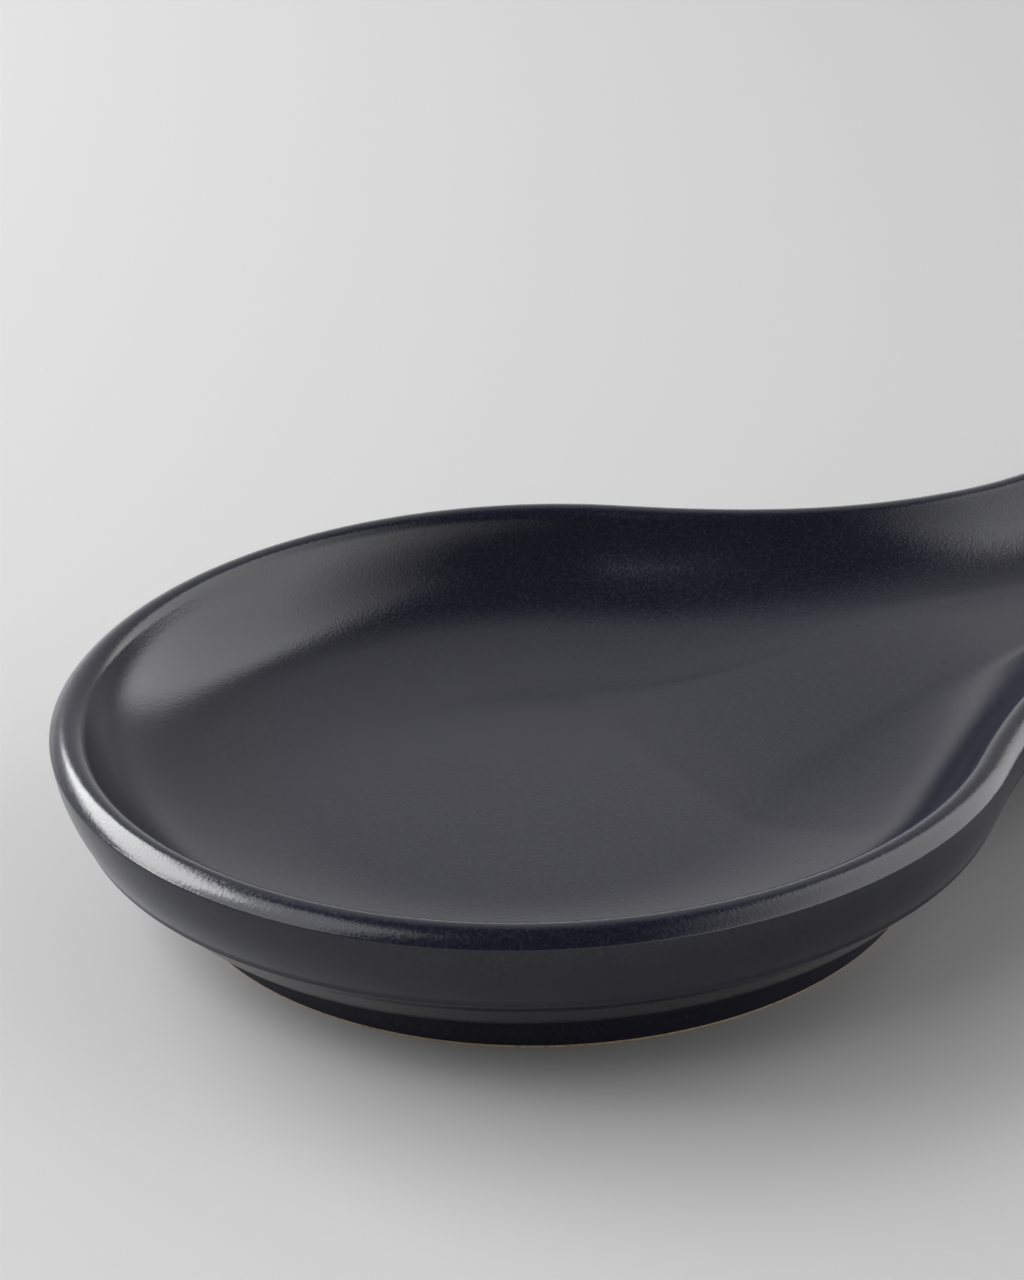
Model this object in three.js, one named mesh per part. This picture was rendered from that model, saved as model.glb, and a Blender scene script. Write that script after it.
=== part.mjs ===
// A spoon rest in glazed stoneware: an oval bowl whose lip runs on through a neck into a troughed handle.
// It stands on a foot ring set in under the wall. Millimetres, +Z up, the handle along +X.
// The origin lies on the table, under the middle of the whole length.

import * as THREE from 'three';

// Plan of the lip's centreline, measured from the bowl's centre
const BOWL_HALF_LENGTH = 58.9;
const BOWL_HALF_WIDTH = 55.2;
const NECK_START = 38;
const NECK_END = 92;
const NECK_HALF_WIDTH = 21.6;
const NECK_SWEEP = 22;
const HANDLE_REACH = 163.2;
const HANDLE_SWEEP = 20;
const END_RADIUS = 20;

// The lip turns tightly over its inner edge, slopes off in a flatter round and turns sharply into the wall.
// On the handle it climbs a little.
const LIP_CENTRE_HEIGHT = 21.9;
const LIP_RADIUS = 2;
const LIP_TURN = THREE.MathUtils.degToRad(56);
const LIP_SLOPE_RADIUS = 4.8;
const LIP_EDGE = THREE.MathUtils.degToRad(34);
const LIP_EDGE_RADIUS = 0.5;
const HANDLE_RISE = 4;
const RISE_START = 84;

// Inside: a coved wall that leans out under the lip, and a floor that sweeps up to it. Towards the neck the
// floor ramps up into the handle's trough.
const BOWL_LEAN = THREE.MathUtils.degToRad(18);
const TROUGH_LEAN = THREE.MathUtils.degToRad(43);
const COVE_TURN = THREE.MathUtils.degToRad(75.5);
const FLOOR_SWEEP = 67;
const TROUGH_SWEEP = 11;
const FLOOR_HEIGHT = 9.5;
const TROUGH_DEPTH = 6.4;
const RAMP_START = 32;
const RAMP_END = 76;

// Outside: a wall that curves in to a crease, a straight shoulder below it, and the slope down to the foot.
// Crease and shoulder climb where the neck leaves the bowl.
const WALL_TOP_LEAN = THREE.MathUtils.degToRad(2);
const WALL_FOOT_LEAN = THREE.MathUtils.degToRad(31);
const SHOULDER_LEAN = THREE.MathUtils.degToRad(42.6);
const CREASE_HEIGHT = 13;
const UNDERSIDE_HEIGHT = 7;
const HANDLE_CREASE_HEIGHT = 16.5;
const HANDLE_UNDERSIDE_HEIGHT = 10.2;
const CLIMB_START = 24;
const CLIMB_END = 68;

// The foot ring, set in from the lip's centreline and, with the lower wall, a little towards the handle
const FOOT_END_INSET = 11.1;
const FOOT_SIDE_INSET = 10.3;
const FOOT_SHIFT = 1.6;
const FOOT_HEIGHT = 3.8;
const FOOT_WIDTH = 4.2;
const FOOT_ROUND = 0.25;

// The glaze, where it stops above the table, and the clearance between pieces that lie on each other
const GLAZE = 0.4;
const GLAZE_LINE = 0.7;
const SEAT_CLEARANCE = 0.05;
const CLAY_DEPTH = GLAZE + SEAT_CLEARANCE;

// Steps along each stretch of the half outline, and round each curve of the section
const BOWL_STEPS = 17;
const NECK_STEPS = 7;
const SIDE_STEPS = 4;
const END_STEPS = 6;
const SWEEP_STEPS = 2;
const COVE_STEPS = 4;
const LIP_STEPS = 3;
const SLOPE_STEPS = 2;
const WALL_STEPS = 3;

// The bowl's underside ends at a row straight across the neck, at this station and in these steps
const ROW_STATION = BOWL_STEPS + 5;
const ROW_STEPS = 4;

const lerp = THREE.MathUtils.lerp;
const smoothstep = THREE.MathUtils.smoothstep;
const smootherstep = THREE.MathUtils.smootherstep;
const neckTurn = Math.acos(NECK_START / BOWL_HALF_LENGTH);

// The four curves of the half outline, from the bowl's tip over the +Y side to the handle's end.
function halfOutline() {
  const bowl = new THREE.EllipseCurve(0, 0, BOWL_HALF_LENGTH, BOWL_HALF_WIDTH, Math.PI, neckTurn, true);
  const leave = bowl.getPoint(1);
  const leaving = bowl.getTangent(1);
  const join = new THREE.Vector2(NECK_END, NECK_HALF_WIDTH);
  const turn = new THREE.Vector2(HANDLE_REACH - END_RADIUS, END_RADIUS);
  const neck = new THREE.CubicBezierCurve(
    leave,
    leave.clone().addScaledVector(leaving, NECK_SWEEP),
    new THREE.Vector2(join.x - NECK_SWEEP, join.y),
    join,
  );
  const side = new THREE.CubicBezierCurve(
    join,
    new THREE.Vector2(join.x + HANDLE_SWEEP, join.y),
    new THREE.Vector2(turn.x - HANDLE_SWEEP, turn.y),
    turn,
  );
  const end = new THREE.EllipseCurve(turn.x, 0, END_RADIUS, END_RADIUS, Math.PI / 2, 0, true);
  return [[bowl, BOWL_STEPS], [neck, NECK_STEPS], [side, SIDE_STEPS], [end, END_STEPS]];
}

// A station is a point of the outline with its outward direction. They run from the bowl's tip over the
// +Y side to the handle's end and back, so that station i and station count - i are mirror images.
function outlineStations() {
  const half = [];
  for (const [curve, steps] of halfOutline()) {
    for (let j = 0; j < steps; j += 1) {
      const along = curve.getTangent(j / steps);
      half.push({ at: curve.getPoint(j / steps), out: new THREE.Vector2(-along.y, along.x) });
    }
  }
  half.push({ at: new THREE.Vector2(HANDLE_REACH, 0), out: new THREE.Vector2(1, 0) });
  const mirrored = half.slice(1, -1).reverse().map(({ at, out }) => ({
    at: new THREE.Vector2(at.x, -at.y),
    out: new THREE.Vector2(out.x, -out.y),
  }));
  return [...half, ...mirrored];
}

// How far the lip has climbed at x. It is level again round the handle's end.
function handleRise(x) {
  return HANDLE_RISE * smoothstep(x, RISE_START, HANDLE_REACH - END_RADIUS);
}

function lipHeight(x) {
  return LIP_CENTRE_HEIGHT + handleRise(x);
}

// A size of the inside at x, between its value in the bowl and its value in the trough.
function inside(x, inBowl, inTrough) {
  return lerp(inBowl, inTrough, smootherstep(x, RAMP_START, RAMP_END));
}

function creaseHeight(x) {
  return lerp(CREASE_HEIGHT, HANDLE_CREASE_HEIGHT, smoothstep(x, CLIMB_START, CLIMB_END)) + handleRise(x);
}

function undersideHeight(x) {
  const climb = smoothstep(x, CLIMB_START, CLIMB_END);
  return lerp(UNDERSIDE_HEIGHT, HANDLE_UNDERSIDE_HEIGHT, climb) + handleRise(x);
}

// The point at a distance from a centre, in the direction of an angle above level.
function offset(centre, distance, angle) {
  return { o: centre.o + distance * Math.cos(angle), z: centre.z + distance * Math.sin(angle) };
}

function arc(centre, radius, from, to, steps) {
  return Array.from({ length: steps + 1 }, (_, j) => offset(centre, radius, lerp(from, to, j / steps)));
}

// The centres of the lip's tight round and of its flatter slope. o is the distance outward from the lip's
// centreline.
function lipCentres(x) {
  const lip = { o: 0, z: lipHeight(x) };
  return { lip, slope: offset(lip, LIP_RADIUS - LIP_SLOPE_RADIUS, LIP_TURN) };
}

// The section at x from the floor's edge, up the inner wall and over the lip to its outer edge.
function innerSection(x) {
  const { lip, slope } = lipCentres(x);
  const floor = inside(x, FLOOR_HEIGHT, LIP_CENTRE_HEIGHT - TROUGH_DEPTH) + handleRise(x);
  const wide = inside(x, FLOOR_SWEEP, TROUGH_SWEEP);
  const lean = inside(x, BOWL_LEAN, TROUGH_LEAN);
  const meet = offset(lip, LIP_RADIUS, Math.PI - lean);
  const coveHeight = meet.z - floor - wide * (1 - Math.sin(COVE_TURN));
  const coveRadius = coveHeight / (Math.sin(COVE_TURN) - Math.sin(lean));
  const cove = offset(meet, -coveRadius, -lean);
  const sweep = offset(cove, coveRadius - wide, -COVE_TURN);
  return [
    ...arc(sweep, wide, -Math.PI / 2, -COVE_TURN, SWEEP_STEPS),
    ...arc(cove, coveRadius, -COVE_TURN, -lean, COVE_STEPS).slice(1),
    ...arc(lip, LIP_RADIUS, Math.PI - lean, LIP_TURN, LIP_STEPS).slice(1),
    ...arc(slope, LIP_SLOPE_RADIUS, LIP_TURN, LIP_EDGE, SLOPE_STEPS).slice(1),
  ];
}

// The section at x from the lip's outer edge, down the curved wall and the shoulder.
function outerSection(x) {
  const edge = offset(lipCentres(x).slope, LIP_SLOPE_RADIUS - LIP_EDGE_RADIUS, LIP_EDGE);
  const top = offset(edge, LIP_EDGE_RADIUS, -WALL_TOP_LEAN);
  const wallRadius = (top.z - creaseHeight(x)) / (Math.sin(WALL_FOOT_LEAN) - Math.sin(WALL_TOP_LEAN));
  const wall = {
    o: top.o - wallRadius * Math.cos(WALL_TOP_LEAN),
    z: top.z + wallRadius * Math.sin(WALL_TOP_LEAN),
  };
  const curve = arc(wall, wallRadius, -WALL_TOP_LEAN, -WALL_FOOT_LEAN, WALL_STEPS);
  const crease = curve[WALL_STEPS];
  const drop = crease.z - undersideHeight(x);
  const shoulder = { o: crease.o - drop * Math.tan(SHOULDER_LEAN), z: crease.z - drop };
  return [...curve, shoulder].map(({ o, z }) => ({ o, z, shift: FOOT_SHIFT * (1 - z / top.z) }));
}

// Rings of points round the finished surface, one for each point of the section.
function sectionRings() {
  const stations = outlineStations();
  const sections = stations.map(({ at }) => [...innerSection(at.x), ...outerSection(at.x)]);
  return sections[0].map((_, k) => stations.map(({ at, out }, i) => {
    const { o, z, shift = 0 } = sections[i][k];
    return new THREE.Vector3(at.x + out.x * o + shift, at.y + out.y * o, z);
  }));
}

// A ring of points on the foot's outline, moved inward by depth, at height z. It has a point for each
// station of the bowl's underside and for each step of the row across the neck.
function footRing(depth, z) {
  const halfLength = BOWL_HALF_LENGTH - FOOT_END_INSET;
  const halfWidth = BOWL_HALF_WIDTH - FOOT_SIDE_INSET;
  const half = ROW_STATION + ROW_STEPS / 2;
  return Array.from({ length: 2 * half }, (_, i) => {
    const along = i <= half ? i : 2 * half - i;
    const turn = along <= BOWL_STEPS
      ? lerp(Math.PI, neckTurn, along / BOWL_STEPS)
      : lerp(neckTurn, 0, (along - BOWL_STEPS) / (half - BOWL_STEPS));
    const side = i <= half ? 1 : -1;
    const out = new THREE.Vector2(halfWidth * Math.cos(turn), halfLength * Math.sin(turn)).normalize();
    return new THREE.Vector3(
      FOOT_SHIFT + halfLength * Math.cos(turn) - depth * out.x,
      side * (halfWidth * Math.sin(turn) - depth * out.y),
      z,
    );
  });
}

// A surface under construction: its points, and triangles whose fronts face out of the solid.
class Surface {
  points = [];

  triangles = [];

  // Adds points and returns their numbers.
  add(points) {
    const first = this.points.length;
    this.points.push(...points);
    return points.map((_, i) => first + i);
  }

  // Joins two loops of equal length; loops run outward from the upper middle, down and in again.
  band(from, to) {
    from.forEach((a, i) => {
      const next = (i + 1) % from.length;
      this.triangles.push([a, from[next], to[next]], [a, to[next], to[i]]);
    });
  }

  // Fills a symmetrical loop with triangles straight across, from station first to the far end.
  fill(loop, facesUp, first = 0) {
    const count = loop.length;
    for (let i = first; i < count / 2; i += 1) {
      const [near, next] = [loop[i], loop[i + 1]];
      const [nearMirror, nextMirror] = [loop[(count - i) % count], loop[count - i - 1]];
      const across = [[near, nearMirror, nextMirror], [near, nextMirror, next]];
      const whole = across.filter(([a, b, c]) => a !== b && b !== c);
      this.triangles.push(...whole.map(([a, b, c]) => (facesUp ? [a, b, c] : [a, c, b])));
    }
  }

  // Adds another surface with its fronts turned over, and returns the shift of its point numbers.
  addReversed({ points, triangles }) {
    const first = this.points.length;
    this.points.push(...points);
    this.triangles.push(...triangles.map(([a, b, c]) => [first + a, first + c, first + b]));
    return first;
  }

  geometry() {
    const geometry = new THREE.BufferGeometry().setFromPoints(this.points);
    geometry.setIndex(this.triangles.flat());
    geometry.computeVertexNormals();
    return geometry;
  }
}

// The finished surface of bowl and handle, open where the foot joins it, with the loop of that opening.
function bodySkin() {
  const skin = new Surface();
  const loops = sectionRings().map((ring) => skin.add(ring));
  loops.slice(1).forEach((loop, k) => skin.band(loops[k], loop));
  skin.fill(loops[0], true);

  const edge = loops[loops.length - 1];
  const mirror = edge.length - ROW_STATION;
  const [left, right] = [edge[ROW_STATION], edge[mirror]];
  const steps = Array.from({ length: ROW_STEPS - 1 }, (_, j) => (
    skin.points[left].clone().lerp(skin.points[right], (j + 1) / ROW_STEPS)
  ));
  const row = [left, ...skin.add(steps), right];
  skin.fill(edge, false, ROW_STATION + 1);
  const [beyondLeft, beyondRight] = [edge[ROW_STATION + 1], edge[mirror - 1]];
  const middle = ROW_STEPS / 2;
  for (let j = 0; j < ROW_STEPS; j += 1) {
    skin.triangles.push([row[j + 1], row[j], j < middle ? beyondLeft : beyondRight]);
  }
  skin.triangles.push([row[middle], beyondLeft, beyondRight]);

  const underBowl = [...edge.slice(0, ROW_STATION), ...row, ...edge.slice(mirror + 1)];
  const root = skin.add(footRing(0, FOOT_HEIGHT));
  skin.band(underBowl, root);
  return { skin, root };
}

const { skin: finished, root } = bodySkin();
const outward = finished.geometry().getAttribute('normal');

// The finished surface moved in by depth.
function layer(depth) {
  const moved = new Surface();
  moved.triangles = [...finished.triangles];
  moved.points = finished.points.map((point, i) => (
    point.clone().addScaledVector(new THREE.Vector3().fromBufferAttribute(outward, i), -depth)
  ));
  footRing(depth, FOOT_HEIGHT + depth).forEach((point, i) => {
    moved.points[root[i]] = point;
  });
  return moved;
}

// The clay bowl and handle, with a flat seat for the foot ring.
function stonewareBody() {
  const body = layer(CLAY_DEPTH);
  const seat = body.add(footRing(CLAY_DEPTH, FOOT_HEIGHT));
  body.band(root, seat);
  body.fill(seat, false);
  return body;
}

// The clay ring, round-edged where it meets the table.
function clayFoot() {
  const outer = CLAY_DEPTH;
  const inner = CLAY_DEPTH + FOOT_WIDTH;
  const top = FOOT_HEIGHT - SEAT_CLEARANCE;
  const path = [
    [inner, top],
    [outer, top],
    [outer, FOOT_ROUND],
    [outer + FOOT_ROUND, 0],
    [inner - FOOT_ROUND, 0],
    [inner, FOOT_ROUND],
  ];
  const foot = new Surface();
  const loops = path.map(([depth, z]) => foot.add(footRing(depth, z)));
  loops.forEach((loop, k) => foot.band(loop, loops[(k + 1) % loops.length]));
  return foot;
}

// The glaze over the inside, the lip and the outside, down the foot to the bare line.
function glazeCoat() {
  const coat = layer(0);
  const line = coat.add(footRing(0, GLAZE_LINE));
  coat.band(root, line);
  const back = layer(GLAZE);
  const backLine = back.add(footRing(GLAZE, GLAZE_LINE));
  back.band(root, backLine);
  const first = coat.addReversed(back);
  coat.band(line, backLine.map((i) => first + i));
  return coat;
}

// The glaze in the recess inside the foot ring.
function baseGlaze() {
  const outer = CLAY_DEPTH + FOOT_WIDTH + SEAT_CLEARANCE;
  const inner = outer + GLAZE;
  const top = FOOT_HEIGHT - SEAT_CLEARANCE;
  const path = [
    [outer, top],
    [outer, GLAZE_LINE],
    [inner, GLAZE_LINE],
    [inner, top - GLAZE],
  ];
  const base = new Surface();
  const loops = path.map(([depth, z]) => base.add(footRing(depth, z)));
  loops.slice(1).forEach((loop, k) => base.band(loops[k], loop));
  base.fill(loops[0], true);
  base.fill(loops[loops.length - 1], false);
  return base;
}

const clay = new THREE.MeshStandardMaterial({ color: '#c8b698', roughness: 0.9, metalness: 0 });
const glaze = new THREE.MeshStandardMaterial({ color: '#121222', roughness: 0.2, metalness: 0 });

function piece(name, surface, material) {
  const mesh = new THREE.Mesh(surface.geometry(), material);
  mesh.name = name;
  return mesh;
}

const spoonRest = new THREE.Group();
spoonRest.add(
  piece('stoneware_body', stonewareBody(), clay),
  piece('foot_ring', clayFoot(), clay),
  piece('glaze_coat', glazeCoat(), glaze),
  piece('base_glaze', baseGlaze(), glaze),
);
spoonRest.position.x = (BOWL_HALF_LENGTH - HANDLE_REACH) / 2;

export default spoonRest;
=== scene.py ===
"""A spoon rest in glazed stoneware: the clay, its bare foot, its satin glaze and a plain stage."""

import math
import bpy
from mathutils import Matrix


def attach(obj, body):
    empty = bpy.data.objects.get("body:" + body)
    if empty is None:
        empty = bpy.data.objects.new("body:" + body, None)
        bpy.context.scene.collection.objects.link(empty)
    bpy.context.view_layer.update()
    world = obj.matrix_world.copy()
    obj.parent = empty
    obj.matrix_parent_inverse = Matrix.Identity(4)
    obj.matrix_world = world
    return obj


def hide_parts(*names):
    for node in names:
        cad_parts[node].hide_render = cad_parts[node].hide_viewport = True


bl_info = {
    "name": "Stoneware spoon rest",
    "version": (1, 0, 0),
    "blender": (4, 5, 0),
    "location": "3D View > Sidebar > Spoon rest",
    "description": "Models a glazed stoneware spoon rest and a plain stage for it",
    "category": "Object",
}

import bmesh
import bpy
from bpy.props import FloatProperty, FloatVectorProperty, PointerProperty
from bpy.types import Operator, Panel, PropertyGroup
from mathutils import Vector

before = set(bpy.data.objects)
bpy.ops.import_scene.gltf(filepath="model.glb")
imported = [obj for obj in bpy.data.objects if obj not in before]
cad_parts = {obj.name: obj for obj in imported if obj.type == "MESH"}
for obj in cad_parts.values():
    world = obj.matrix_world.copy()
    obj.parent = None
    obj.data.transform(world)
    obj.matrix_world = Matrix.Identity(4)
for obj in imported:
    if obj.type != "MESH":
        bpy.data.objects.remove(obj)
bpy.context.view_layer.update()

# Points along each stretch of the half outline, and round each curve of the section
BOWL_STEPS = 68
NECK_STEPS = 28
SIDE_STEPS = 16
END_STEPS = 24
HALF = BOWL_STEPS + NECK_STEPS + SIDE_STEPS + END_STEPS
STATIONS = 2 * HALF
SWEEP_STEPS = 10
COVE_STEPS = 14
LIP_STEPS = 12
SLOPE_STEPS = 8
EDGE_STEPS = 5
WALL_STEPS = 8
CREASE_STEPS = 6

# The bowl's middle, and level directions to the right and away from the camera
BOWL = Vector((-0.052, 0, 0.01))
RIGHT = Vector((0.8621, -0.5066, 0))
AHEAD = Vector((0.5066, 0.8621, 0))

# Rows across stop short of a tip by so many stations. The bowl's underside ends at a row across the neck.
TIP_STATIONS = 10
ROW_STATION = BOWL_STEPS + 20
ACROSS_CUTS = 15
FOOT_POINTS = 2 * ROW_STATION + ACROSS_CUTS + 1

# Where rows cross the shoulder, and the slope from it to the foot, as shares of their width
SHOULDER_ROWS = (0.4, 0.75, 1)
SLOPE_ROWS = (0.25, 0.5, 0.75, 1)

# The patch of the underside that is smoothed round the row across the neck: how far it reaches along, its
# half width at the row and how fast that narrows, how far above the handle's underside it ends, and how often
# it is smoothed
PATCH_REACH = 0.014
PATCH_HALF_WIDTH = 0.022
PATCH_TAPER = 0.3
PATCH_MARGIN = 0.0005
PATCH_SMOOTHING = 14

# Points closer than this, in metres, are one place. Edges that turn by more than this angle stay sharp.
SAME_PLACE = 1e-7
SHARP_EDGE = math.radians(40)

# Each soft light's turn, height, width and tallness as the bowl sees it, in degrees, and the distances in
# metres of the lamp that sheds its light and of the lamp that is mirrored
KEY_PLACE = (-67, 35, 54, 32)
GLOW_PLACE = (-117, 43, 36, 42)
LIGHT_DISTANCE = 1.2
FACE_DISTANCE = 1.1

# The camera's place, viewing direction, lens and sensor
CAMERA_PLACE = (-0.23905, -0.3111, 0.2114)
CAMERA_WAY = Vector((0.4536, 0.7718, -0.4457))
CAMERA_LENS = 92.17
CAMERA_SENSOR = 36


def srgb(code):
    """Linear colour of an sRGB hex value."""
    channels = [int(code[i:i + 2], 16) / 255 for i in (1, 3, 5)]
    return [c / 12.92 if c <= 0.04045 else ((c + 0.055) / 1.055) ** 2.4 for c in channels]


def size(name, millimetres, description):
    """A length that a user may change."""
    return FloatProperty(name=name, description=description, default=millimetres / 1000,
                         unit="LENGTH", precision=5)


def lean(name, degrees, description):
    """An angle that a user may change."""
    return FloatProperty(name=name, description=description, default=math.radians(degrees),
                         subtype="ANGLE")


def colour(name, code, description):
    """A colour that a user may change."""
    return FloatVectorProperty(name=name, description=description, default=srgb(code),
                               subtype="COLOR", min=0, max=1)


def power(name, watts, description):
    """A lamp's power that a user may change."""
    return FloatProperty(name=name, description=description, default=watts, unit="POWER")


def strength(name, value, description):
    """A strength of the room's light that a user may change."""
    return FloatProperty(name=name, description=description, default=value, min=0)


class PlanSizes(PropertyGroup):
    """Plan of the lip's centreline, measured from the bowl's centre."""

    bowl_half_length: size("Bowl half length", 58.9, "From the bowl's centre to the lip at its tip")
    bowl_half_width: size("Bowl half width", 55.2, "From the bowl's centre to the lip at its side")
    neck_start: size("Neck start", 38, "Where the neck leaves the bowl's oval")
    neck_end: size("Neck end", 92, "Where the neck has become the handle")
    neck_half_width: size("Neck half width", 21.6, "Half the handle's width where the neck ends")
    neck_sweep: size("Neck sweep", 22, "How far the neck keeps the directions of its two ends")
    handle_reach: size("Handle reach", 163.2, "From the bowl's centre to the lip at the handle's end")
    handle_sweep: size("Handle sweep", 20, "How far the handle's side keeps straight at its two ends")
    end_radius: size("End radius", 20, "Radius of the handle's round end")


class SectionSizes(PropertyGroup):
    """The section across the lip, the inside and the outer wall."""

    lip_height: size("Lip height", 21.9, "Height of the centre of the lip's tight round")
    lip_radius: size("Lip radius", 2, "Radius of the tight round over the lip's inner edge")
    lip_turn: lean("Lip turn", 56, "Where the tight round becomes the lip's slope, above level")
    lip_slope_radius: size("Lip slope radius", 4.8, "Radius of the lip's flatter slope")
    lip_edge: lean("Lip edge", 34, "Where the lip's slope ends, above level")
    lip_edge_radius: size("Lip edge radius", 0.5, "Radius of the turn from the lip into the wall")
    handle_rise: size("Handle rise", 4, "How much higher the lip is at the handle's end")
    rise_start: size("Rise start", 84, "Where the lip starts to climb")
    bowl_lean: lean("Bowl lean", 18, "Lean of the bowl's coved wall under the lip")
    trough_lean: lean("Trough lean", 43, "Lean of the trough's coved wall under the lip")
    cove_turn: lean("Cove turn", 75.5, "Where the cove becomes the wide sweep, below level")
    floor_sweep: size("Floor sweep", 67, "Radius of the wide sweep into the bowl's floor")
    trough_sweep: size("Trough sweep", 11, "Radius of the wide sweep into the trough's floor")
    floor_height: size("Floor height", 9.5, "Height of the bowl's floor")
    trough_depth: size("Trough depth", 6.4, "Depth of the trough under the lip's centreline")
    ramp_start: size("Ramp start", 32, "Where the floor starts to climb into the trough")
    ramp_end: size("Ramp end", 76, "Where the floor has become the trough")
    wall_top_lean: lean("Wall top lean", 2, "Lean of the outer wall under the lip")
    wall_foot_lean: lean("Wall foot lean", 31, "Lean of the outer wall at the crease")
    shoulder_lean: lean("Shoulder lean", 42.6, "Lean of the shoulder under the crease")
    crease_height: size("Crease height", 13, "Height of the crease on the bowl")
    crease_bead: size("Crease bead", 0.55, "How far the fine bead along the crease reaches to each side")
    crease_rise: size("Crease rise", 0.22, "How far that bead stands out from the wall")
    underside_height: size("Underside height", 7, "Height of the shoulder's lower edge on the bowl")
    handle_crease_height: size("Handle crease height", 16.5, "Height of the crease on the handle")
    handle_underside_height: size("Handle underside height", 10.2, "Height of the handle's underside")
    climb_start: size("Climb start", 24, "Where crease and shoulder start to climb")
    climb_end: size("Climb end", 68, "Where crease and shoulder have climbed")
    lower_round: size("Lower round", 0.9, "Softening of the shoulder's lower edge")


class FootSizes(PropertyGroup):
    """The foot ring under the bowl."""

    end_inset: size("End inset", 11.1, "From the lip's centreline to the foot at the bowl's tip")
    side_inset: size("Side inset", 10.3, "From the lip's centreline to the foot at the bowl's side")
    shift: size("Shift", 1.6, "How far the foot lies towards the handle")
    height: size("Height", 3.8, "Height of the foot where it meets the bowl")
    width: size("Width", 4.2, "Width of the clay ring")
    edge_round: size("Edge round", 0.25, "Radius of the ring's edges at the table")
    root_round: size("Root round", 0.7, "Softening of the corner between foot and bowl")


class GlazeFinish(PropertyGroup):
    """The glaze: how thick it lies, where it stops, and its colours."""

    thickness: size("Thickness", 0.4, "Thickness of the glaze")
    line: size("Line", 0.7, "Height above the table at which the glaze stops")
    clearance: size("Clearance", 0.05, "Gap between pieces that lie on each other")
    pool: size("Pool", 0.8, "Radius of the glaze that pools in the corner of the recess")
    deep: colour("Deep", "#0b0b1d", "Colour where the glaze lies thick")
    thin: colour("Thin", "#0d0e1f", "Colour where the glaze lies thin")
    fleck: colour("Fleck", "#383949", "Colour of the fine crystals in the glaze")


class ClayFinish(PropertyGroup):
    """The fired clay."""

    body: colour("Body", "#c8b698", "Colour of the clay")
    grog: colour("Grog", "#8d7656", "Colour of the darker grains in the clay")


class StageSettings(PropertyGroup):
    """The floor and the lights."""

    floor: colour("Floor", "#bcbcbc", "Colour of the floor")
    key: power("Key", 16.5, "Power of the large light at the left, behind")
    glow: power("Glow", 5.5, "Power of the dim light at the left, in front")
    key_face: power("Key face", 25, "Power of the key as shiny surfaces mirror it")
    glow_face: power("Glow face", 4.5, "Power of the glow as shiny surfaces mirror it")
    far_room: strength("Far room", 0.65, "Strength of the room's light behind the rest")
    near_room: strength("Near room", 0.13, "Strength of the room's light at the camera")
    backdrop: strength("Backdrop", 0.5, "How much brighter the room is low behind the rest")
    side_room: strength("Side room", 2.65, "Strength of the pale wall at the right as mirrored")
    side_light: strength("Side light", 1.1, "Strength of the light that the pale wall sheds")


class SpoonRest(PropertyGroup):
    """Every size and colour of the spoon rest."""

    plan: PointerProperty(type=PlanSizes)
    section: PointerProperty(type=SectionSizes)
    foot: PointerProperty(type=FootSizes)
    glaze: PointerProperty(type=GlazeFinish)
    clay: PointerProperty(type=ClayFinish)
    stage: PointerProperty(type=StageSettings)


def lerp(a, b, t):
    return a + (b - a) * t


def smoothstep(x, low, high):
    t = min(1, max(0, (x - low) / (high - low)))
    return t * t * (3 - 2 * t)


def smootherstep(x, low, high):
    """A step whose bend, too, starts and ends at nothing, so that no edge shows in the shine."""
    t = min(1, max(0, (x - low) / (high - low)))
    return t * t * t * (t * (6 * t - 15) + 10)


def oval(half_length, half_width, turn):
    """A point of an oval and the direction in which its turn goes down."""
    at = Vector((half_length * math.cos(turn), half_width * math.sin(turn)))
    along = Vector((half_length * math.sin(turn), -half_width * math.cos(turn)))
    return at, along


def bezier(points, t):
    """A point of a cubic curve and its direction."""
    a, b, c, d = points
    s = 1 - t
    at = a * s**3 + b * (3 * s * s * t) + c * (3 * s * t * t) + d * t**3
    along = (b - a) * (s * s) + (c - b) * (2 * s * t) + (d - c) * (t * t)
    return at, along


def outline_stations(plan):
    """Points of the lip's centreline with their outward directions, from the bowl's tip over the +Y side
    to the handle's end and back."""
    leave_turn = math.acos(plan.neck_start / plan.bowl_half_length)
    leave, leaving = oval(plan.bowl_half_length, plan.bowl_half_width, leave_turn)
    join = Vector((plan.neck_end, plan.neck_half_width))
    turn = Vector((plan.handle_reach - plan.end_radius, plan.end_radius))
    ahead = Vector((1, 0))
    neck = (leave, leave + leaving.normalized() * plan.neck_sweep, join - ahead * plan.neck_sweep, join)
    side = (join, join + ahead * plan.handle_sweep, turn - ahead * plan.handle_sweep, turn)
    half = [oval(plan.bowl_half_length, plan.bowl_half_width, lerp(math.pi, leave_turn, j / BOWL_STEPS))
            for j in range(BOWL_STEPS)]
    half += [bezier(neck, j / NECK_STEPS) for j in range(NECK_STEPS)]
    half += [bezier(side, j / SIDE_STEPS) for j in range(SIDE_STEPS)]
    for j in range(END_STEPS + 1):
        at, along = oval(plan.end_radius, plan.end_radius, lerp(math.pi / 2, 0, j / END_STEPS))
        half.append((at + Vector((turn.x, 0)), along))
    stations = [(at, Vector((-along.y, along.x)).normalized()) for at, along in half]
    mirrored = [(Vector((at.x, -at.y)), Vector((out.x, -out.y))) for at, out in stations[-2:0:-1]]
    return stations + mirrored


def offset(centre, distance, angle):
    """The point of a section at a distance from a centre, in the direction of an angle above level."""
    return (centre[0] + distance * math.cos(angle), centre[1] + distance * math.sin(angle))


def arc(centre, radius, start, end, steps):
    """Points of a section's arc as (distance outward, height)."""
    return [offset(centre, radius, lerp(start, end, j / steps)) for j in range(steps + 1)]


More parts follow.
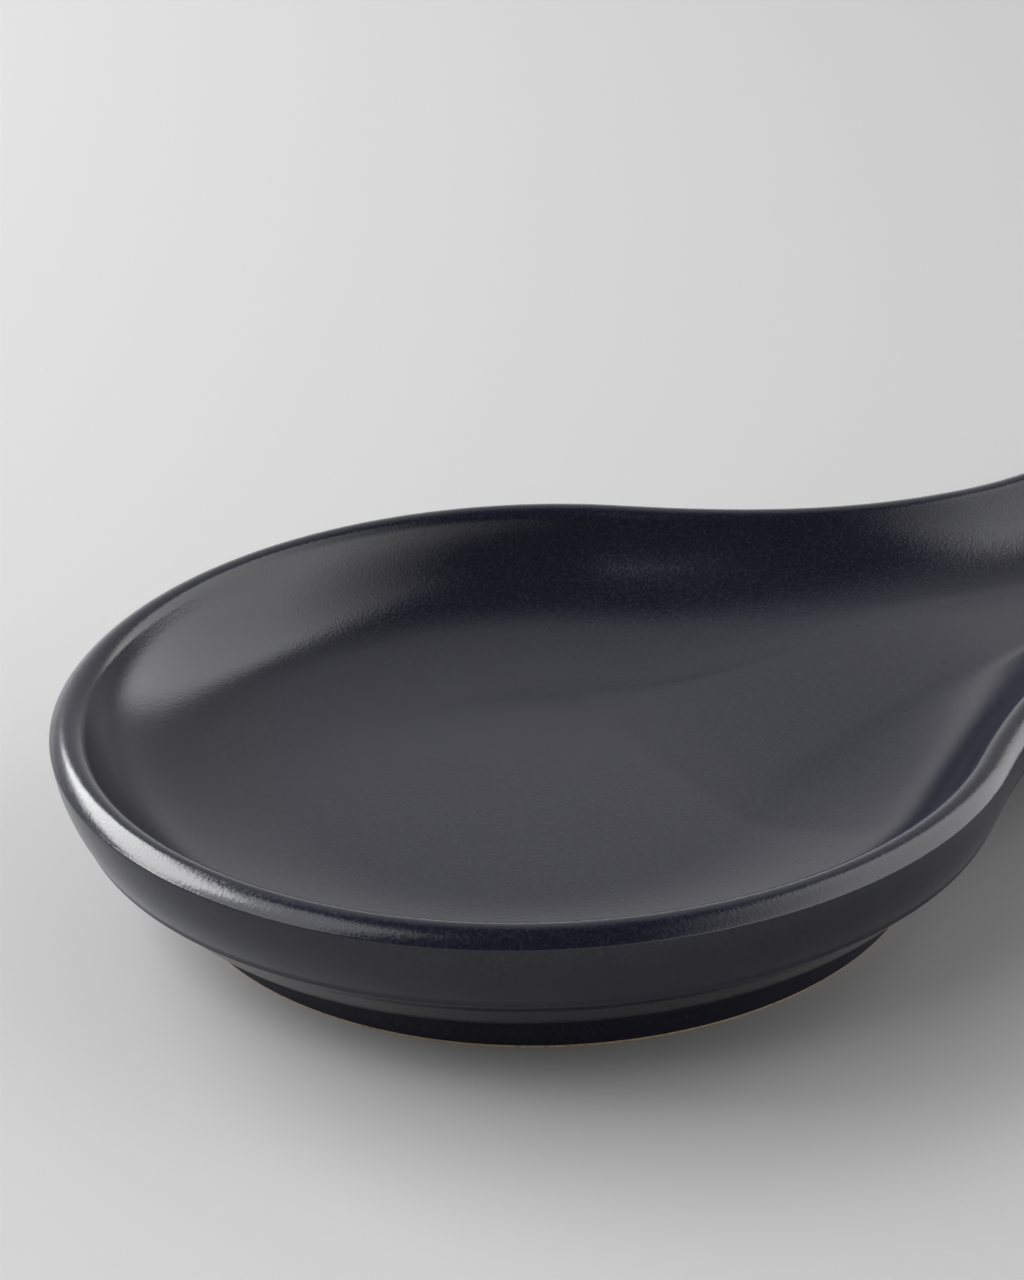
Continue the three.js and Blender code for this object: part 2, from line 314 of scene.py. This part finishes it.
def section_points(rest, x):
    """The section at x, from the floor's edge over the lip to the shoulder's lower edge, as
    (distance outward from the lip's centreline, height, shift towards the handle)."""
    s = rest.section
    rise = s.handle_rise * smoothstep(x, s.rise_start, rest.plan.handle_reach - rest.plan.end_radius)
    climb = smoothstep(x, s.climb_start, s.climb_end)
    ramp = smootherstep(x, s.ramp_start, s.ramp_end)
    floor = lerp(s.floor_height, s.lip_height - s.trough_depth, ramp) + rise
    wide = lerp(s.floor_sweep, s.trough_sweep, ramp)
    inner_lean = lerp(s.bowl_lean, s.trough_lean, ramp)
    crease = lerp(s.crease_height, s.handle_crease_height, climb) + rise
    underside = lerp(s.underside_height, s.handle_underside_height, climb) + rise

    lip = (0, s.lip_height + rise)
    slope = offset(lip, s.lip_radius - s.lip_slope_radius, s.lip_turn)
    meet = offset(lip, s.lip_radius, math.pi - inner_lean)
    cove_height = meet[1] - floor - wide * (1 - math.sin(s.cove_turn))
    cove_radius = cove_height / (math.sin(s.cove_turn) - math.sin(inner_lean))
    cove = offset(meet, -cove_radius, -inner_lean)
    sweep = offset(cove, cove_radius - wide, -s.cove_turn)
    points = arc(sweep, wide, -math.pi / 2, -s.cove_turn, SWEEP_STEPS)
    points += arc(cove, cove_radius, -s.cove_turn, -inner_lean, COVE_STEPS)[1:]
    points += arc(lip, s.lip_radius, math.pi - inner_lean, s.lip_turn, LIP_STEPS)[1:]
    points += arc(slope, s.lip_slope_radius, s.lip_turn, s.lip_edge, SLOPE_STEPS)[1:]
    first_outer = len(points)

    edge = offset(slope, s.lip_slope_radius - s.lip_edge_radius, s.lip_edge)
    turn = arc(edge, s.lip_edge_radius, s.lip_edge, -s.wall_top_lean, EDGE_STEPS)
    points += turn[1:]
    top = turn[-1]
    radius = (top[1] - crease) / (math.sin(s.wall_foot_lean) - math.sin(s.wall_top_lean))
    wall_centre = offset(top, -radius, -s.wall_top_lean)
    wall = arc(wall_centre, radius, -s.wall_top_lean, -s.wall_foot_lean, WALL_STEPS)
    corner = wall[-1]
    drop = corner[1] - underside
    lower = (corner[0] - drop * math.tan(s.shoulder_lean), underside)

    before = offset(corner, s.crease_bead, math.pi / 2 - s.wall_foot_lean)
    after = offset(corner, -s.crease_bead, math.pi / 2 - s.shoulder_lean)
    crest = offset(corner, 2 * s.crease_rise, -(s.wall_foot_lean + s.shoulder_lean) / 2)
    points += wall[1:-1]
    for j in range(CREASE_STEPS + 1):
        t = j / CREASE_STEPS
        weights = ((1 - t) ** 2, 2 * t * (1 - t), t * t)
        points.append(tuple(sum(w * p[axis] for w, p in zip(weights, (before, crest, after)))
                            for axis in (0, 1)))
    points += [tuple(lerp(after[axis], lower[axis], t) for axis in (0, 1)) for t in SHOULDER_ROWS]
    return [(o, z, rest.foot.shift * (1 - z / top[1]) if k >= first_outer else 0)
            for k, (o, z) in enumerate(points)]


def section_rings(rest):
    """Rings of places round bowl and handle, one for each point of the section."""
    middle = (rest.plan.bowl_half_length - rest.plan.handle_reach) / 2
    stations = outline_stations(rest.plan)
    sections = [section_points(rest, at.x) for at, out in stations]
    rings = []
    for k in range(len(sections[0])):
        ring = []
        for (at, out), section in zip(stations, sections):
            o, z, shift = section[k]
            ring.append(Vector((at.x + out.x * o + shift + middle, at.y + out.y * o, z)))
        rings.append(ring)
    return rings


def foot_places(rest, depth, z):
    """Places round the foot's outline, moved in by depth, at height z."""
    plan = rest.plan
    half_length = plan.bowl_half_length - rest.foot.end_inset
    half_width = plan.bowl_half_width - rest.foot.side_inset
    middle = (plan.bowl_half_length - plan.handle_reach) / 2 + rest.foot.shift
    leave_turn = math.acos(plan.neck_start / plan.bowl_half_length)
    places = []
    for i in range(FOOT_POINTS):
        along = min(i, FOOT_POINTS - i)
        if along <= BOWL_STEPS:
            turn = lerp(math.pi, leave_turn, along / BOWL_STEPS)
        else:
            turn = lerp(leave_turn, 0, (along - BOWL_STEPS) / (FOOT_POINTS / 2 - BOWL_STEPS))
        side = 1 if i <= FOOT_POINTS / 2 else -1
        at, along = oval(half_length, half_width, turn)
        out = Vector((-along.y, along.x)).normalized()
        places.append(Vector((at.x - depth * out.x + middle, side * (at.y - depth * out.y), z)))
    return places


def start_ring(name, places, radius):
    """Adds a circle, opens it in edit mode, numbers its points from the bowl's tip over the +Y side and lays
    them on their places."""
    points = len(places)
    bpy.ops.object.select_all(action="DESELECT")
    bpy.ops.mesh.primitive_circle_add(vertices=points, radius=radius, location=(0, 0, 0))
    piece = bpy.context.object
    piece.name = name
    piece.data.name = name
    bpy.ops.object.mode_set(mode="EDIT")
    mesh = bmesh.from_edit_mesh(piece.data)
    number = mesh.verts.layers.int.new("number")
    for vert in mesh.verts:
        turn = math.atan2(vert.co.y, vert.co.x)
        vert[number] = round((math.pi - turn) / (2 * math.pi) * points) % points
    bmesh.update_edit_mesh(piece.data)
    bpy.ops.mesh.select_all(action="SELECT")
    lay(piece, places)
    return piece


def lay(piece, places):
    """Moves the selected points to the places with their numbers."""
    mesh = bmesh.from_edit_mesh(piece.data)
    number = mesh.verts.layers.int["number"]
    for vert in mesh.verts:
        if vert.select:
            vert.co = places[vert[number]]
    bmesh.update_edit_mesh(piece.data)


def extrude_to(piece, places):
    """Extrudes the selected ring and lays the new one on its places."""
    bpy.ops.mesh.extrude_edges_move(TRANSFORM_OT_translate={"value": (0, 0, 0)})
    lay(piece, places)


def select(piece, verts=None, edges=None):
    """Selects points or edges by a test on each, and nothing else."""
    bpy.ops.mesh.select_all(action="DESELECT")
    bpy.ops.mesh.select_mode(type="VERT" if verts else "EDGE")
    mesh = bmesh.from_edit_mesh(piece.data)
    for item in (mesh.verts if verts else mesh.edges):
        if (verts or edges)(item):
            item.select_set(True)
    mesh.select_flush_mode()
    bmesh.update_edit_mesh(piece.data)


def select_open_edges():
    """Selects the edges with a face on one side only, and nothing else."""
    bpy.ops.mesh.select_all(action="DESELECT")
    bpy.ops.mesh.select_mode(type="EDGE")
    bpy.ops.mesh.select_non_manifold(extend=False)


def face_outward():
    """Selects the whole piece and turns its faces outward."""
    bpy.ops.mesh.select_all(action="SELECT")
    bpy.ops.mesh.normals_make_consistent(inside=False)


def close(value, other):
    return (value - other).length < SAME_PLACE


def fill_across(piece, ring, first, tips):
    """Fills a ring with rows straight across it, from the station first to the handle's end, and its tips."""
    steps = range(first, HALF - TIP_STATIONS)
    wanted = {(i, i + 1) for i in steps} | {(STATIONS - i - 1, STATIONS - i) for i in steps}
    mesh = bmesh.from_edit_mesh(piece.data)
    number = mesh.verts.layers.int["number"]
    on_ring = {v for v in mesh.verts if v.is_boundary and close(v.co, ring[v[number]])}
    pairs = [e for e in mesh.edges if on_ring.issuperset(e.verts)]
    bpy.ops.mesh.select_all(action="DESELECT")
    for edge in pairs:
        low, high = sorted(v[number] for v in edge.verts)
        edge.select_set((low, high) in wanted)
    bmesh.update_edit_mesh(piece.data)
    bpy.ops.mesh.bridge_edge_loops(number_cuts=ACROSS_CUTS, interpolation="LINEAR")
    for tip in tips:
        fill_tip(piece, ring, tip)


def fill_tip(piece, ring, tip):
    """Closes the last gap at a tip, between its point and the first row."""
    mesh = bmesh.from_edit_mesh(piece.data)
    number = mesh.verts.layers.int["number"]
    start = next(v for v in mesh.verts if v[number] == tip and close(v.co, ring[tip]))
    loop = {start}
    queue = [start]
    while queue:
        vert = queue.pop()
        for edge in vert.link_edges:
            other = edge.other_vert(vert)
            if edge.is_boundary and other not in loop:
                loop.add(other)
                queue.append(other)
    bpy.ops.mesh.select_all(action="DESELECT")
    for edge in mesh.edges:
        edge.select_set(edge.is_boundary and loop.issuperset(edge.verts))
    bmesh.update_edit_mesh(piece.data)
    bpy.ops.mesh.edge_face_add()
    bpy.ops.mesh.quads_convert_to_tris()


def model_skin(rest, name):
    """Models the finished surface of bowl and handle, open where the foot joins it, and leaves the edge of
    that opening selected in edit mode."""
    rings = section_rings(rest)
    piece = start_ring(name, rings[0], rest.plan.bowl_half_length)
    for ring in rings[1:]:
        extrude_to(piece, ring)
    fill_across(piece, rings[0], TIP_STATIONS, (0, HALF))
    fill_across(piece, rings[-1], ROW_STATION, (HALF,))

    select_open_edges()
    opening = number_opening(piece)
    root = foot_places(rest, 0, rest.foot.height)
    for t in SLOPE_ROWS:
        extrude_to(piece, [a.lerp(b, t) for a, b in zip(opening, root)])

    row = rings[-1][ROW_STATION].x
    below = rest.section.handle_underside_height + PATCH_MARGIN
    select(piece, verts=lambda v: not v.is_boundary and abs(v.co.x - row) < PATCH_REACH and v.co.z < below
           and abs(v.co.y) < PATCH_HALF_WIDTH - PATCH_TAPER * abs(v.co.x - row))
    bpy.ops.mesh.vertices_smooth(factor=0.5, repeat=PATCH_SMOOTHING)

    lower = rings[-1]
    number = bmesh.from_edit_mesh(piece.data).verts.layers.int["number"]
    select(piece, edges=lambda e: all(0 <= v[number] < STATIONS and close(v.co, lower[v[number]])
                                      for v in e.verts))
    bpy.ops.mesh.bevel(offset=rest.section.lower_round, segments=3, affect="EDGES")
    face_outward()
    select_open_edges()
    return piece


def number_opening(piece):
    """Numbers the points of the selected open edge from the bowl's tip over the +Y side, and returns their
    places."""
    mesh = bmesh.from_edit_mesh(piece.data)
    number = mesh.verts.layers.int["number"]
    points = [v for v in mesh.verts if v.select]
    if len(points) != FOOT_POINTS:
        raise RuntimeError(f"the opening has {len(points)} points, not {FOOT_POINTS}")
    vert = min(points, key=lambda v: v.co.x)
    previous = None
    ordered = []
    while vert is not None and vert not in ordered:
        ordered.append(vert)
        ahead = [e.other_vert(vert) for e in vert.link_edges if e.is_boundary]
        ahead = [v for v in ahead if v is not previous]
        previous, vert = vert, max(ahead, key=lambda v: v.co.y) if len(ordered) == 1 else ahead[0]
    for i, vert in enumerate(ordered):
        vert[number] = i
    places = [v.co.copy() for v in ordered]
    bmesh.update_edit_mesh(piece.data)
    return places


def number_root(rest, piece, depth):
    """Numbers the selected points of the foot's root by the places that they are nearest to."""
    places = foot_places(rest, depth, 0)
    mesh = bmesh.from_edit_mesh(piece.data)
    number = mesh.verts.layers.int["number"]
    for vert in mesh.verts:
        if vert.select:
            flat = Vector((vert.co.x, vert.co.y, 0))
            vert[number] = min(range(FOOT_POINTS), key=lambda i: (places[i] - flat).length_squared)
    bmesh.update_edit_mesh(piece.data)


def finish_piece(piece, node, material):
    """Shades a piece, gives it its material and ties it to the frame in place of its CAD node."""
    bpy.ops.object.mode_set(mode="OBJECT")
    attribute = piece.data.attributes.get("number")
    if attribute:
        piece.data.attributes.remove(attribute)
    bpy.ops.object.shade_smooth_by_angle(angle=SHARP_EDGE)
    piece.data.materials.clear()
    piece.data.materials.append(material)
    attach(piece, "root")
    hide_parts(node)


def apply_modifier(piece, name, kind, **settings):
    """Adds a modifier with its settings and applies it."""
    modifier = piece.modifiers.new(name, kind)
    for key, value in settings.items():
        setattr(modifier, key, value)
    bpy.ops.object.modifier_apply(modifier=name)


def add_node(tree, kind, settings=None, **inputs):
    """Adds a node; settings are its own values, inputs its sockets' values or the sockets linked to them.
    _6 is the socket numbered 6."""
    node = tree.nodes.new(kind)
    for key, value in (settings or {}).items():
        setattr(node, key, value)
    for key, value in inputs.items():
        socket = node.inputs[int(key[1:])] if key[0] == "_" else node.inputs[key.replace("_", " ")]
        if isinstance(value, bpy.types.NodeSocket):
            tree.links.new(value, socket)
        else:
            socket.default_value = value
    return node


def new_material(name):
    """A material with an empty tree."""
    material = bpy.data.materials.new(name)
    material.use_nodes = True
    tree = material.node_tree
    tree.nodes.clear()
    return material, tree


def satin_glaze(rest):
    """Satin stoneware glaze, fired: blue-black glass with fine crystals that break its shine, so highlights
    are broad with a grainy edge. The surface has a faint peel."""
    material, tree = new_material("Satin blue-black stoneware glaze")
    glaze = rest.glaze
    where = add_node(tree, "ShaderNodeTexCoord").outputs["Object"]
    # Cloud of about 9 mm where the glaze lies thicker or thinner
    cloud = add_node(tree, "ShaderNodeTexNoise", Vector=where, Scale=1 / 0.009, Detail=3.0, Roughness=0.55)
    depth = add_node(tree, "ShaderNodeMapRange", Value=cloud.outputs["Fac"], From_Min=0.35, From_Max=0.65)
    base = add_node(tree, "ShaderNodeMix", {"data_type": "RGBA"}, Factor=depth.outputs["Result"],
                    _6=[*glaze.deep, 1], _7=[*glaze.thin, 1])
    # Crystals of about 0.4 mm
    crystal = add_node(tree, "ShaderNodeTexNoise", Vector=where, Scale=1 / 0.0004, Detail=2.0, Roughness=0.6)
    bright = add_node(tree, "ShaderNodeMapRange", Value=crystal.outputs["Fac"], From_Min=0.45, From_Max=0.8,
                      To_Max=0.35)
    tone = add_node(tree, "ShaderNodeMix", {"data_type": "RGBA"}, Factor=bright.outputs["Result"],
                    _6=base.outputs[2], _7=[*glaze.fleck, 1])
    shine = add_node(tree, "ShaderNodeMapRange", Value=crystal.outputs["Fac"], From_Min=0.3, From_Max=0.7,
                     To_Min=0.17, To_Max=0.24)
    # Peel of about 2.5 mm under the crystals
    peel = add_node(tree, "ShaderNodeTexNoise", Vector=where, Scale=1 / 0.0025, Detail=2.0)
    swell = add_node(tree, "ShaderNodeBump", Height=peel.outputs["Fac"], Strength=0.1, Distance=0.00008)
    grain = add_node(tree, "ShaderNodeBump", Height=crystal.outputs["Fac"], Strength=0.8, Distance=0.00003,
                     Normal=swell.outputs["Normal"])
    shader = add_node(tree, "ShaderNodeBsdfPrincipled", Base_Color=tone.outputs[2],
                      Roughness=shine.outputs["Result"], IOR=1.5, Normal=grain.outputs["Normal"])
    add_node(tree, "ShaderNodeOutputMaterial", Surface=shader.outputs["BSDF"])
    return material


def bare_clay(rest):
    """Stoneware clay, fired without glaze: dry, light brown and open, with darker grains of grog."""
    material, tree = new_material("Bare fired stoneware clay")
    clay = rest.clay
    where = add_node(tree, "ShaderNodeTexCoord").outputs["Object"]
    # Grog grains of about 0.6 mm
    grog = add_node(tree, "ShaderNodeTexNoise", Vector=where, Scale=1 / 0.0006, Detail=3.0, Roughness=0.65)
    dark = add_node(tree, "ShaderNodeMapRange", Value=grog.outputs["Fac"], From_Min=0.52, From_Max=0.72)
    tone = add_node(tree, "ShaderNodeMix", {"data_type": "RGBA"}, Factor=dark.outputs["Result"],
                    _6=[*clay.body, 1], _7=[*clay.grog, 1])
    rough = add_node(tree, "ShaderNodeBump", Height=grog.outputs["Fac"], Strength=0.6, Distance=0.00012)
    shader = add_node(tree, "ShaderNodeBsdfPrincipled", Base_Color=tone.outputs[2], Roughness=0.9, IOR=1.5,
                      Normal=rough.outputs["Normal"])
    add_node(tree, "ShaderNodeOutputMaterial", Surface=shader.outputs["BSDF"])
    return material


def shared_material(rest, name, make):
    """The material of that name, made when first asked for."""
    return bpy.data.materials.get(name) or make(rest)


class SPOONREST_OT_clay_body(Operator):
    """Models the clay bowl and handle under the glaze"""

    bl_idname = "spoonrest.clay_body"
    bl_label = "Clay body"

    def execute(self, context):
        rest = context.scene.spoon_rest
        depth = rest.glaze.thickness + rest.glaze.clearance
        piece = model_skin(rest, "fired_clay_body")
        bpy.ops.mesh.select_all(action="SELECT")
        bpy.ops.transform.shrink_fatten(value=-depth)
        select_open_edges()
        number_root(rest, piece, depth)
        lay(piece, foot_places(rest, depth, rest.foot.height + depth))
        extrude_to(piece, foot_places(rest, depth, rest.foot.height))
        bpy.ops.mesh.edge_face_add()
        face_outward()
        finish_piece(piece, "stoneware_body",
                     shared_material(rest, "Bare fired stoneware clay", bare_clay))
        return {"FINISHED"}


class SPOONREST_OT_foot_ring(Operator):
    """Models the clay ring that the bowl stands on"""

    bl_idname = "spoonrest.foot_ring"
    bl_label = "Foot ring"

    def execute(self, context):
        rest = context.scene.spoon_rest
        foot = rest.foot
        outer = rest.glaze.thickness + rest.glaze.clearance
        inner = outer + foot.width
        top = foot.height - rest.glaze.clearance
        r = foot.edge_round
        path = [(outer, top), (outer, lerp(top, r, 0.5))]
        path += [(outer + r - o, r + z) for o, z in arc((0, 0), r, 0, -math.pi / 2, 5)]
        path += [(inner - r - o, r + z) for o, z in arc((0, 0), r, -math.pi / 2, -math.pi, 5)]
        path += [(inner, lerp(r, top, 0.5)), (inner, top)]
        loops = [foot_places(rest, depth, z) for depth, z in path]
        piece = start_ring("bare_foot_ring", loops[0], rest.plan.bowl_half_length)
        for loop in loops[1:]:
            extrude_to(piece, loop)
        select_open_edges()
        bpy.ops.mesh.bridge_edge_loops()
        face_outward()
        finish_piece(piece, "foot_ring",
                     shared_material(rest, "Bare fired stoneware clay", bare_clay))
        return {"FINISHED"}


class SPOONREST_OT_glaze_coat(Operator):
    """Models the glaze over the inside, the lip and the outside, down to its line on the foot"""

    bl_idname = "spoonrest.glaze_coat"
    bl_label = "Glaze coat"

    def execute(self, context):
        rest = context.scene.spoon_rest
        foot = rest.foot
        piece = model_skin(rest, "satin_glaze_coat")
        number_root(rest, piece, 0)
        root = foot_places(rest, 0, foot.height)
        for z in (lerp(foot.height, rest.glaze.line, 0.5), rest.glaze.line):
            extrude_to(piece, foot_places(rest, 0, z))
        number = bmesh.from_edit_mesh(piece.data).verts.layers.int["number"]
        select(piece, edges=lambda e: all(v[number] < FOOT_POINTS and close(v.co, root[v[number]])
                                          for v in e.verts))
        bpy.ops.mesh.bevel(offset=foot.root_round, segments=4, affect="EDGES")
        face_outward()
        bpy.ops.object.mode_set(mode="OBJECT")
        apply_modifier(piece, "Coat", "SOLIDIFY", thickness=rest.glaze.thickness, offset=-1,
                       use_quality_normals=True)
        finish_piece(piece, "glaze_coat",
                     shared_material(rest, "Satin blue-black stoneware glaze", satin_glaze))
        return {"FINISHED"}


class SPOONREST_OT_base_glaze(Operator):
    """Models the glaze in the recess inside the foot ring"""

    bl_idname = "spoonrest.base_glaze"
    bl_label = "Base glaze"

    def execute(self, context):
        rest = context.scene.spoon_rest
        foot = rest.foot
        clearance = rest.glaze.clearance
        outer = rest.glaze.thickness + clearance + foot.width + clearance
        inner = outer + rest.glaze.thickness
        top = foot.height - clearance
        under = top - rest.glaze.thickness
        pool = rest.glaze.pool
        path = [(outer, top), (outer, rest.glaze.line), (inner, rest.glaze.line)]
        path += [(inner + pool - o, under - pool + z) for o, z in arc((0, 0), pool, 0, math.pi / 2, 5)]
        loops = [foot_places(rest, depth, z) for depth, z in path]
        piece = start_ring("satin_base_glaze", loops[0], rest.plan.bowl_half_length)
        bpy.ops.mesh.edge_face_add()
        bpy.ops.mesh.select_mode(type="EDGE")
        bpy.ops.mesh.select_all(action="SELECT")
        for loop in loops[1:]:
            extrude_to(piece, loop)
        bpy.ops.mesh.edge_face_add()
        face_outward()
        finish_piece(piece, "base_glaze",
                     shared_material(rest, "Satin blue-black stoneware glaze", satin_glaze))
        return {"FINISHED"}


def matt_floor(rest):
    """Matt painted board: pale and even, with no shine of its own."""
    material, tree = new_material("Matt pale board")
    where = add_node(tree, "ShaderNodeTexCoord").outputs["Object"]
    tooth = add_node(tree, "ShaderNodeTexNoise", Vector=where, Scale=1 / 0.0008, Detail=2.0)
    bump = add_node(tree, "ShaderNodeBump", Height=tooth.outputs["Fac"], Strength=0.15, Distance=0.0001)
    shader = add_node(tree, "ShaderNodeBsdfPrincipled", Base_Color=[*rest.stage.floor, 1], Roughness=0.85,
                      IOR=1.45, Normal=bump.outputs["Normal"])
    add_node(tree, "ShaderNodeOutputMaterial", Surface=shader.outputs["BSDF"])
    return material


def level_way(turn):
    """The level direction at an angle in degrees, clockwise from straight behind the rest as the camera
    sees it."""
    return RIGHT * math.sin(math.radians(turn)) + AHEAD * math.cos(math.radians(turn))


def room_edge(tree, way, across, start, end, before, after):
    """A value that goes from one level of light to another where the room's edge lies across a direction."""
    place = add_node(tree, "ShaderNodeVectorMath", {"operation": "DOT_PRODUCT"}, _0=way, _1=across)
    level = add_node(tree, "ShaderNodeMapRange", Value=place.outputs["Value"], From_Min=start, From_Max=end,
                     To_Min=before, To_Max=after)
    return level.outputs["Result"]


def add_softbox(name, place, shed, face):
    """A rectangular soft light that faces the bowl. It stands at an angle clockwise from straight behind the
    rest as the camera sees it, at an angle above the floor, and is so wide and tall, in degrees. Its cloth is
    brighter than what it sheds, so the lamp that shiny surfaces mirror is one of its own, in front."""
    turn, height, width, tall = place
    height = math.radians(height)
    towards = level_way(turn) * math.cos(height) + Vector((0, 0, math.sin(height)))
    for part, energy, distance in (("light", shed, LIGHT_DISTANCE), ("face", face, FACE_DISTANCE)):
        light = bpy.data.lights.new(f"{name}_{part}", "AREA")
        light.shape = "RECTANGLE"
        light.size = 2 * distance * math.tan(math.radians(width / 2))
        light.size_y = 2 * distance * math.tan(math.radians(tall / 2))
        light.energy = energy
        lamp = bpy.data.objects.new(light.name, light)
        lamp.visible_glossy = part == "face"
        lamp.visible_diffuse = part == "light"
        lamp.location = BOWL + towards * distance
        lamp.rotation_euler = (-towards).to_track_quat("-Z", "Y").to_euler()
        bpy.context.scene.collection.objects.link(lamp)


class SPOONREST_OT_stage(Operator):
    """Lays the floor and sets up the lights, the room and the camera"""

    bl_idname = "spoonrest.stage"
    bl_label = "Stage"

    def execute(self, context):
        rest = context.scene.spoon_rest
        scene = context.scene
        bpy.ops.object.select_all(action="DESELECT")
        bpy.ops.mesh.primitive_plane_add(size=6, location=(0, 0, 0))
        floor = context.object
        floor.name = "floor"
        floor.data.materials.append(matt_floor(rest))

        add_softbox("key_softbox", KEY_PLACE, rest.stage.key, rest.stage.key_face)
        add_softbox("glow_softbox", GLOW_PLACE, rest.stage.glow, rest.stage.glow_face)

        world = bpy.data.worlds.new("Room")
        scene.world = world
        world.use_nodes = True
        tree = world.node_tree
        tree.nodes.clear()
        way = add_node(tree, "ShaderNodeTexCoord").outputs["Generated"]
        up = Vector((0, 0, 1))
        # The room is brighter behind the rest than at the camera, and brightest low behind it
        behind = room_edge(tree, way, AHEAD, 0.15, 0.65, rest.stage.near_room, rest.stage.far_room)
        backdrop = room_edge(tree, way, AHEAD, 0.89, 1, 0, rest.stage.backdrop)
        far = add_node(tree, "ShaderNodeMath", {"operation": "ADD"}, _0=behind, _1=backdrop)
        # The pale wall at the right fades out high up at the camera's side, and has a top edge and an end
        wall = room_edge(tree, way, 0.1 * RIGHT + 0.67 * AHEAD - 0.73 * up, -0.85, -0.4, 0, 1)
        wall_top = room_edge(tree, way, 2.05 * level_way(95) - up, -0.05, 0.05, 0, 1)
        wall_end = room_edge(tree, way, level_way(135), -0.03, 0.05, 0, 1)
        mirrored = add_node(tree, "ShaderNodeLightPath").outputs["Is Glossy Ray"]
        side = add_node(tree, "ShaderNodeMapRange", Value=mirrored, To_Min=rest.stage.side_light,
                        To_Max=rest.stage.side_room)
        face = add_node(tree, "ShaderNodeMath", {"operation": "MULTIPLY"}, _0=wall, _1=side.outputs["Result"])
        part = add_node(tree, "ShaderNodeMath", {"operation": "MULTIPLY"}, _0=face.outputs["Value"],
                        _1=wall_top)
        level = add_node(tree, "ShaderNodeMath", {"operation": "MULTIPLY_ADD"}, _0=part.outputs["Value"],
                         _1=wall_end, _2=far.outputs["Value"])
        light = add_node(tree, "ShaderNodeBackground", Color=(1, 1, 1, 1), Strength=level.outputs["Value"])
        add_node(tree, "ShaderNodeOutputWorld", Surface=light.outputs["Background"])

        camera = bpy.data.cameras.new("photo_camera")
        camera.lens = CAMERA_LENS
        camera.sensor_width = CAMERA_SENSOR
        camera.clip_start = 0.01
        viewer = bpy.data.objects.new("photo_camera", camera)
        viewer.location = CAMERA_PLACE
        viewer.rotation_euler = CAMERA_WAY.to_track_quat("-Z", "Y").to_euler()
        scene.collection.objects.link(viewer)
        scene.camera = viewer
        scene.view_settings.view_transform = "Standard"
        return {"FINISHED"}


class SPOONREST_PT_sidebar(Panel):
    """The pieces, in the order in which they are built"""

    bl_idname = "SPOONREST_PT_sidebar"
    bl_label = "Spoon rest"
    bl_space_type = "VIEW_3D"
    bl_region_type = "UI"
    bl_category = "Spoon rest"

    def draw(self, context):
        for operator in OPERATORS:
            self.layout.operator(operator.bl_idname)
        rest = context.scene.spoon_rest
        for group in (rest.plan, rest.section, rest.foot, rest.glaze, rest.clay, rest.stage):
            box = self.layout.box()
            for name in group.__annotations__:
                box.prop(group, name)


GROUPS = (PlanSizes, SectionSizes, FootSizes, GlazeFinish, ClayFinish, StageSettings, SpoonRest)
OPERATORS = (SPOONREST_OT_clay_body, SPOONREST_OT_foot_ring, SPOONREST_OT_glaze_coat,
             SPOONREST_OT_base_glaze, SPOONREST_OT_stage)
CLASSES = (*GROUPS, *OPERATORS, SPOONREST_PT_sidebar)


def register():
    for cls in CLASSES:
        bpy.utils.register_class(cls)
    bpy.types.Scene.spoon_rest = PointerProperty(type=SpoonRest)


def unregister():
    del bpy.types.Scene.spoon_rest
    for cls in reversed(CLASSES):
        bpy.utils.unregister_class(cls)


def main():
    register()
    bpy.ops.spoonrest.clay_body()
    bpy.ops.spoonrest.foot_ring()
    bpy.ops.spoonrest.glaze_coat()
    bpy.ops.spoonrest.base_glaze()
    bpy.ops.spoonrest.stage()


if __name__ == "__main__":
    main()
